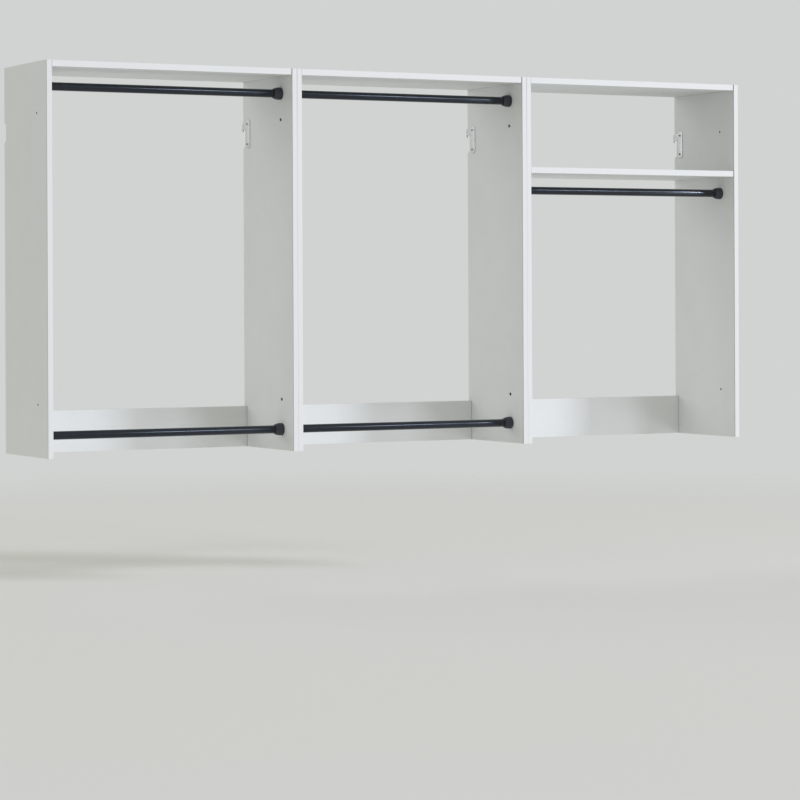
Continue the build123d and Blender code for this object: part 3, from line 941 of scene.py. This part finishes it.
def arc_through(first: np.ndarray, middle: np.ndarray, last: np.ndarray, steps: int) -> np.ndarray:
    """Points on the circle through three points, from the first to the last.

    The centre is where |P - C| is the same for all three, which is two linear equations.

    Args:
        first: The arc's start.
        middle: A point on the arc.
        last: The arc's end.
        steps: How many points it gets.

    Returns:
        The points, as rows of two.
    """
    rows = 2 * np.array([middle - first, last - first])
    sums = np.array([middle @ middle - first @ first, last @ last - first @ first])
    centre = np.linalg.solve(rows, sums)
    angles = [math.atan2(*(point - centre)[::-1]) for point in (first, middle, last)]
    turn = np.unwrap(angles)
    t = np.linspace(turn[0], turn[2], steps)
    return centre + np.linalg.norm(first - centre) * np.column_stack([np.cos(t), np.sin(t)])


@dataclass
class PieceMaker:
    """Puts arrays into mesh objects, dresses them and joins them to the frame.

    Edges that turn by more than sharp_deg stay sharp.
    """

    sharp_deg: float = 35.0

    def piece(
        self,
        name: str,
        vertices: np.ndarray,
        faces: list[list[int]],
        material: Material,
        body: str,
        slot: str,
        node: str,
    ) -> Object:
        """Make one piece that stands for a CAD node.

        Args:
            name: The new object's name.
            vertices: Its points, in metres, in the shared frame.
            faces: Its faces.
            material: Its finish.
            body: The CAD body that it rides on.
            slot: The record's material slot, which is not used.
            node: The CAD node that it stands for.

        Returns:
            The object.
        """
        mesh = bpy.data.meshes.new(name)
        mesh.from_pydata(vertices.tolist(), [], faces)
        shell = bmesh.new()
        shell.from_mesh(mesh)
        bmesh.ops.recalc_face_normals(shell, faces=shell.faces)
        shell.to_mesh(mesh)
        shell.free()
        mesh.shade_smooth()
        mesh.set_sharp_from_angle(angle=math.radians(self.sharp_deg))
        mesh.materials.append(material)
        piece = bpy.data.objects.new(name, mesh)
        bpy.context.scene.collection.objects.link(piece)
        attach(piece, body)
        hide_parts(node)
        LOG.info("made %s: %d points", name, len(vertices))
        return piece

    def dress(self, node: str, material: Material) -> None:
        """Give a CAD node its finish.

        Args:
            node: The node's name.
            material: Its finish.
        """
        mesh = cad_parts[node].data
        if len(mesh.materials):
            mesh.materials[0] = material
        else:
            mesh.materials.append(material)
        LOG.info("dressed %s with %s", node, material.name)


# Sub-assemblies


@dataclass
class Carcass:
    """The three bays' boards and their edge bands.

    The painted shade on the connector holes' walls reaches a little past them, as far as
    bore_reach.
    """

    bore_reach: float = 3.6 * MM
    board: MelamineBoard = MelamineBoard()
    band: EdgeBanding = EdgeBanding()

    def build(self, maker: PieceMaker) -> None:
        """Dress every board and band.

        Args:
            maker: What dresses the nodes.
        """
        panel_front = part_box("left_bay_left_panel")[0].y
        # The connector holes lie where the sleeves that join the bays sit.
        low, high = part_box("connector_sleeves")
        flange = (high.y - low.y) / 2
        middle = low.y + flange
        bores = Rounds(((middle, low.z + flange), (middle, high.z - flange)), self.bore_reach)
        upright = self.board.material(BoardLie.UPRIGHT, panel_front, bores)
        level = self.board.material(BoardLie.LEVEL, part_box("left_bay_top_board")[0].y)
        # The rails lie far behind the panels' front, so no glue line reaches them.
        back = self.board.material(BoardLie.BACK, panel_front)
        for bay in BAYS:
            for side in SIDES:
                maker.dress(f"{bay}_bay_{side}_panel", upright)
            maker.dress(f"{bay}_bay_top_board", level)
            maker.dress(f"{bay}_bay_rail", back)
        maker.dress("right_bay_shelf", level)
        maker.dress("side_panel_edge_bands", self.band.material(BandRun.UP))
        across = self.band.material(BandRun.ACROSS)
        for node in ("top_board_edge_bands", "shelf_edge_band", "rail_edge_bands"):
            maker.dress(node, across)


@dataclass
class HangingRods:
    """The rods with their cups, turned as smooth surfaces of the CAD's own sizes.

    A cup's dome passes through cup_shoulder, a radius and a distance from the panel.
    """

    rods: tuple[str, ...] = (
        "left_bay_upper_rod", "left_bay_lower_rod", "middle_bay_upper_rod",
        "middle_bay_lower_rod", "right_bay_rod",
    )
    tube_wall: float = 1.2 * MM
    tube_lip: float = 0.3 * MM
    cup_length: float = 26.0 * MM
    flange_radius: float = 19.0 * MM
    flange_thickness: float = 6.0 * MM
    mouth_radius: float = 14.28 * MM
    cup_shoulder: tuple[float, float] = (17.98 * MM, 16.0 * MM)
    bore_radius: float = 12.58 * MM
    cup_floor: float = 4.5 * MM
    screw_radius: float = 1.85 * MM
    screw_head_radius: float = 3.6 * MM
    screw_head_height: float = 2.2 * MM
    cup_lip: float = 0.5 * MM
    segments: int = 96
    tube_lip_steps: int = 4
    cup_lip_steps: int = 5
    dome_steps: int = 24
    coat: PowderCoat = PowderCoat()
    nylon: MouldedBlack = MouldedBlack()

    def build(self, maker: PieceMaker) -> None:
        """Make every rod and both of its cups.

        Args:
            maker: What makes the pieces.
        """
        coat, nylon = self.coat.material(), self.nylon.material()
        for rod in self.rods:
            low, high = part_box(rod)
            middle = (low + high) / 2
            ring = self.tube_profile(high.x - low.x, (high.z - low.z) / 2)
            surface = turned_ring(ring, (low.x, middle.y, middle.z), 1, self.segments)
            maker.piece(f"{rod}_tube", *surface, coat, rod, "black_rod_coating", rod)
            for side, direction in SIDES.items():
                node = f"{rod}_{side}_cup"
                cup_low, cup_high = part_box(node)
                foot = cup_low.x if direction == 1 else cup_high.x
                surface = turned_ring(
                    self.cup_profile(), (foot, middle.y, middle.z), direction, self.segments
                )
                maker.piece(f"{node}_bell", *surface, nylon, "frame", "black_cup_plastic", node)

    def tube_profile(self, length: float, radius: float) -> np.ndarray:
        """The ring of a tube's wall, with its four long corners eased.

        Args:
            length: The tube's length.
            radius: Its outer radius.

        Returns:
            Rows of radius and distance along the tube.
        """
        inner = radius - self.tube_wall
        corners = np.array([(radius, 0.0), (radius, length), (inner, length), (inner, 0.0)])
        return rounded_corners(corners, np.full(len(corners), self.tube_lip), self.tube_lip_steps)

    def cup_profile(self) -> np.ndarray:
        """The ring of a cup: flange, domed shoulder, mouth, bore, floor and screw hole.

        Returns:
            Rows of radius and distance from the panel.
        """
        mouth = np.array((self.mouth_radius, self.cup_length))
        rim = np.array((self.flange_radius, self.flange_thickness))
        dome = arc_through(rim, np.array(self.cup_shoulder), mouth, self.dome_steps)
        head_foot = self.cup_floor - self.screw_head_height
        before = np.array([
            (self.screw_head_radius, self.cup_floor), (self.screw_radius, head_foot),
            (self.screw_radius, 0.0), (self.flange_radius, 0.0),
        ])
        after = np.array([(self.bore_radius, self.cup_length), (self.bore_radius, self.cup_floor)])
        ring = np.vstack([before, dome, after])
        # The flange's foot and both edges of the mouth are rounded.
        foot, mouth_inside = len(before) - 1, len(before) + len(dome)
        radii = np.zeros(len(ring))
        radii[[foot, mouth_inside - 1, mouth_inside]] = self.cup_lip
        return rounded_corners(ring, radii, self.cup_lip_steps)


@dataclass
class Hangers:
    """The steel hangers, stamped from strip, with a hook and a rim that is rolled at the front.

    A hanger's outline is measured from its upper screw, and arm gives the heights of the lower and
    the upper edge of the arm that ends in the hook's tip.
    """

    width: float = 27.0 * MM
    below_screw: float = 76.0 * MM
    above_screw: float = 12.0 * MM
    corner: float = 9.0 * MM
    line_from_hook: float = 42.0 * MM
    arm: tuple[float, float] = (-16.0 * MM, 6.0 * MM)
    tip_width: float = 7.0 * MM
    tip_drop: float = 8.0 * MM
    tip_corner: float = 2.5 * MM
    screw_spacing: float = 64.0 * MM
    hole_radius: float = 2.1 * MM
    roll: float = 0.6 * MM
    roll_steps: int = 6
    corner_steps: int = 9
    shoulder_steps: int = 7
    hole_steps: int = 24
    finish: PlatedMetal = ZINC_PLATE

    def build(self, maker: PieceMaker) -> None:
        """Make every hanger on its panel.

        Args:
            maker: What makes the pieces.
        """
        zinc = self.finish.material()
        for bay in BAYS:
            for side, direction in SIDES.items():
                node = f"{bay}_bay_{side}_hanger"
                low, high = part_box(node)
                screw = np.array((high.y - self.line_from_hook, high.z - self.above_screw))
                back = low.x if direction == 1 else high.x
                surface = stamped_plate(
                    self.outline() + screw, self.holes(screw), back, direction * (high.x - low.x),
                    self.roll, self.roll_steps,
                )
                maker.piece(f"{node}_plate", *surface, zinc, "frame", "zinc_plated_steel", node)

    def outline(self) -> np.ndarray:
        """The hanger's outline about its upper screw, anticlockwise: a plate with a hooked arm.

        Returns:
            Rows of Y and Z.
        """
        half, reach, (arm_low, arm_high) = self.width / 2, self.line_from_hook, self.arm
        rise = arm_high - self.above_screw + self.corner
        turns = np.linspace(math.asin(rise / self.corner), np.pi / 2, self.shoulder_steps)
        shoulder = np.column_stack([
            half - self.corner + self.corner * np.cos(turns),
            self.above_screw - self.corner + self.corner * np.sin(turns),
        ])
        before = np.array([
            (-half, -self.below_screw), (half, -self.below_screw), (half, arm_low),
            (reach - self.tip_width, arm_low), (reach - self.tip_width, arm_low - self.tip_drop),
            (reach, arm_low - self.tip_drop), (reach, arm_high),
        ])
        corners = np.vstack([before, shoulder, [(-half, self.above_screw)]])
        # The corners of the plate and the arm are wide, and the two of the tip are small.
        radii = np.zeros(len(corners))
        radii[[0, 1, 6, -1]] = self.corner
        radii[[4, 5]] = self.tip_corner
        return rounded_corners(corners, radii, self.corner_steps)

    def holes(self, screw: np.ndarray) -> list[np.ndarray]:
        """The outlines of the two screw holes.

        Args:
            screw: Y and Z of the upper screw.

        Returns:
            Two circles, as rows of Y and Z.
        """
        turns = np.linspace(0.0, 2 * np.pi, self.hole_steps, endpoint=False)
        circle = screw + self.hole_radius * np.column_stack([np.cos(turns), np.sin(turns)])
        return [circle, circle - (0.0, self.screw_spacing)]


@dataclass
class Hardware:
    """Screws, connectors, cam locks, cam bolts and dowels.

    The painted shade in the recesses of the hanger screws reaches wider than they are cut, so that
    it shows.
    """

    hanger_head_radius: float = 4.2 * MM
    hanger_recess_radius: float = 3.5 * MM
    beech: TurnedBeech = TurnedBeech()

    def build(self, maker: PieceMaker) -> None:
        """Dress every piece of hardware.

        Args:
            maker: What dresses the nodes.
        """
        screw, cast, black = ZINC_SCREW.material(), CAST_ZINC.material(), BLACK_OXIDE.material()
        beech = self.beech.material()
        for bay in BAYS:
            maker.dress(f"{bay}_bay_cam_locks", cast)
            maker.dress(f"{bay}_bay_cam_bolts", screw)
            maker.dress(f"{bay}_bay_dowels", beech)
        low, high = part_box("hanger_screws")
        radius = self.hanger_head_radius
        row = (low.y + high.y) / 2
        heads = Rounds(((row, high.z - radius), (row, low.z + radius)), self.hanger_recess_radius)
        maker.dress("hanger_screws", ZINC_SCREW.material(heads))
        maker.dress("rod_cup_screws", screw)
        maker.dress("connector_sleeves", black)
        maker.dress("connector_screws", black)


# The studio


@dataclass(frozen=True)
class Softbox:
    """A soft light, placed by its direction from the object's middle, and as large as two angles.

    The azimuth goes from the front to the right, and the distance is in metres. The strength is the
    value at which a white surface that faces the light renders.
    """

    name: str
    azimuth_deg: float
    elevation_deg: float
    distance: float
    wide_deg: float
    tall_deg: float
    strength: float
    colour: str

    def hang(self, middle: Vector) -> None:
        """Hang the light so that it looks at the object's middle.

        Args:
            middle: The object's middle.
        """
        azimuth, elevation = math.radians(self.azimuth_deg), math.radians(self.elevation_deg)
        level = math.cos(elevation)
        away = Vector((math.sin(azimuth) * level, -math.cos(azimuth) * level, math.sin(elevation)))
        data = bpy.data.lights.new(self.name, "AREA")
        data.shape = "RECTANGLE"
        data.size = 2 * self.distance * math.tan(math.radians(self.wide_deg / 2))
        data.size_y = 2 * self.distance * math.tan(math.radians(self.tall_deg / 2))
        # A white surface that faces the lamp renders at power / (pi * distance) ** 2.
        data.energy = self.strength * (math.pi * self.distance) ** 2
        data.color = linear(self.colour)[:3]
        lamp = bpy.data.objects.new(self.name, data)
        bpy.context.scene.collection.objects.link(lamp)
        lamp.location = middle + away * self.distance
        lamp.rotation_euler = (-away).to_track_quat("-Z", "Y").to_euler()
        lamp.visible_camera = False


@dataclass
class Studio:
    """A plain pale floor, an even pale surround, soft lights and the camera.

    Lengths are in metres. The camera's place, turns, focal length and horizon were fitted to the
    object's edges in the photograph, which is 800 pixels wide.
    """

    surround: str = "#D0D3D1"
    ambient_tone: str = "#D4D3CB"
    ambient: float = 0.695
    floor_colour: str = "#F5F5F2"
    floor_roughness: tuple[float, float] = (0.85, 0.95)
    floor_grain_mm: float = 167.0
    floor_below: float = 0.45
    floor_half: float = 7.0
    fade_from: float = 3.0
    fade_to: float = 6.5
    softboxes: tuple[Softbox, ...] = (
        Softbox(
            "key_softbox", azimuth_deg=52.0, elevation_deg=17.0, distance=40.0,
            wide_deg=9.0, tall_deg=5.0, strength=0.465, colour="#EDF0FF",
        ),
        Softbox(
            "strip_softbox", azimuth_deg=28.0, elevation_deg=17.0, distance=40.0,
            wide_deg=14.0, tall_deg=3.4, strength=0.16, colour="#E9EEFF",
        ),
        Softbox(
            "low_softbox", azimuth_deg=52.0, elevation_deg=-20.0, distance=40.0,
            wide_deg=20.0, tall_deg=20.0, strength=0.14, colour="#F6F8FF",
        ),
        Softbox(
            "rear_softbox", azimuth_deg=-125.0, elevation_deg=20.0, distance=20.0,
            wide_deg=35.0, tall_deg=35.0, strength=0.18, colour="#F8F9FF",
        ),
    )
    camera_at: tuple[float, float, float] = (-4.258, -8.263, 0.406)
    camera_turn_deg: float = -28.0
    camera_roll_deg: float = -0.255
    focal_px: float = 2878.0
    horizon_px: float = 296.8
    picture_px: float = 800.0
    sensor_mm: float = 36.0
    clip_end: float = 60.0

    def build(self) -> None:
        """Make the surround, the floor, the lights and the camera."""
        self.world()
        self.floor()
        for softbox in self.softboxes:
            softbox.hang((CAD_BOX[0] + CAD_BOX[1]) / 2)
        self.camera()
        bpy.context.scene.view_settings.view_transform = "Standard"

    def world(self) -> None:
        """Surround the object with one even tone, which lights it a little less than it shows."""
        world = bpy.data.worlds.new("studio_surround")
        world.use_nodes = True
        tree = world.node_tree
        tree.nodes.clear()
        ray = add_node(tree, "ShaderNodeLightPath")
        sharp = add_node(
            tree, "ShaderNodeMath",
            {0: ray.outputs["Is Glossy Ray"], 1: ray.outputs["Is Transmission Ray"]},
            operation="MAXIMUM",
        )
        seen = add_node(
            tree, "ShaderNodeMath",
            {0: ray.outputs["Is Camera Ray"], 1: sharp.outputs[0]}, operation="MAXIMUM",
        )
        strength = add_node(
            tree, "ShaderNodeMapRange",
            {"Value": seen.outputs[0], "To Min": self.ambient, "To Max": 1.0},
        )
        tone = add_node(
            tree, "ShaderNodeMix",
            {0: seen.outputs[0], 6: linear(self.ambient_tone), 7: linear(self.surround)},
            data_type="RGBA",
        )
        glow = add_node(
            tree, "ShaderNodeBackground",
            {"Color": tone.outputs[2], "Strength": strength.outputs["Result"]},
        )
        add_node(tree, "ShaderNodeOutputWorld", {"Surface": glow.outputs[0]})
        bpy.context.scene.world = world

    def floor_paint(self) -> Material:
        """Build the floor's matte paint, which fades out far from the object.

        Returns:
            The material.
        """
        material, tree, place = shader_sheet("painted_studio_floor")
        flat = add_node(
            tree, "ShaderNodeVectorMath", {0: place, 1: (1.0, 1.0, 0.0)}, operation="MULTIPLY"
        )
        distance = add_node(tree, "ShaderNodeVectorMath", {0: flat.outputs[0]}, operation="LENGTH")
        fade = add_node(
            tree, "ShaderNodeMapRange",
            {
                "Value": distance.outputs["Value"], "From Min": self.fade_from,
                "From Max": self.fade_to,
            },
            interpolation_type="SMOOTHSTEP",
        )
        grain = add_node(
            tree, "ShaderNodeTexNoise",
            {"Vector": place, "Scale": 1 / (self.floor_grain_mm * MM), "Detail": 3.0},
        )
        smooth, rough = self.floor_roughness
        gloss = add_node(
            tree, "ShaderNodeMapRange",
            {"Value": grain.outputs["Fac"], "To Min": smooth, "To Max": rough},
        )
        paint = add_node(
            tree, "ShaderNodeBsdfPrincipled",
            {
                "Base Color": linear(self.floor_colour), "Roughness": gloss.outputs["Result"],
                "Specular IOR Level": 0.15,
            },
        )
        clear = add_node(tree, "ShaderNodeBsdfTransparent")
        mixed = add_node(
            tree, "ShaderNodeMixShader",
            {0: fade.outputs["Result"], 1: paint.outputs[0], 2: clear.outputs[0]},
        )
        add_node(tree, "ShaderNodeOutputMaterial", {"Surface": mixed.outputs[0]})
        return material

    def floor(self) -> None:
        """Lay the floor, as a square sheet with no shadow of its own."""
        level = CAD_BOX[0].z - self.floor_below
        half = self.floor_half
        mesh = bpy.data.meshes.new("studio_floor")
        corners = ((-half, -half), (half, -half), (half, half), (-half, half))
        mesh.from_pydata([(x, y, level) for x, y in corners], [], [(0, 1, 2, 3)])
        mesh.materials.append(self.floor_paint())
        floor = bpy.data.objects.new("studio_floor", mesh)
        bpy.context.scene.collection.objects.link(floor)
        floor.visible_shadow = False

    def camera(self) -> None:
        """Set the camera where the photograph was taken from."""
        data = bpy.data.cameras.new("photo_camera")
        data.sensor_width = self.sensor_mm
        data.lens = self.focal_px / self.picture_px * self.sensor_mm
        data.shift_y = (self.horizon_px - self.picture_px / 2) / self.picture_px
        data.clip_end = self.clip_end
        camera = bpy.data.objects.new("photo_camera", data)
        bpy.context.scene.collection.objects.link(camera)
        level = Euler((math.radians(90), 0.0, math.radians(self.camera_turn_deg))).to_matrix()
        roll = Matrix.Rotation(math.radians(self.camera_roll_deg), 3, "Z")
        camera.matrix_world = Matrix.Translation(self.camera_at) @ (level @ roll).to_4x4()
        bpy.context.scene.camera = camera


def main() -> None:
    """Build every sub-assembly in order, then the studio."""
    logging.basicConfig(level=logging.INFO, format="%(name)s: %(message)s")
    maker = PieceMaker()
    for assembly in (Carcass(), HangingRods(), Hangers(), Hardware()):
        LOG.info("building %s", type(assembly).__name__)
        assembly.build(maker)
    Studio().build()


if __name__ == "__main__":
    main()
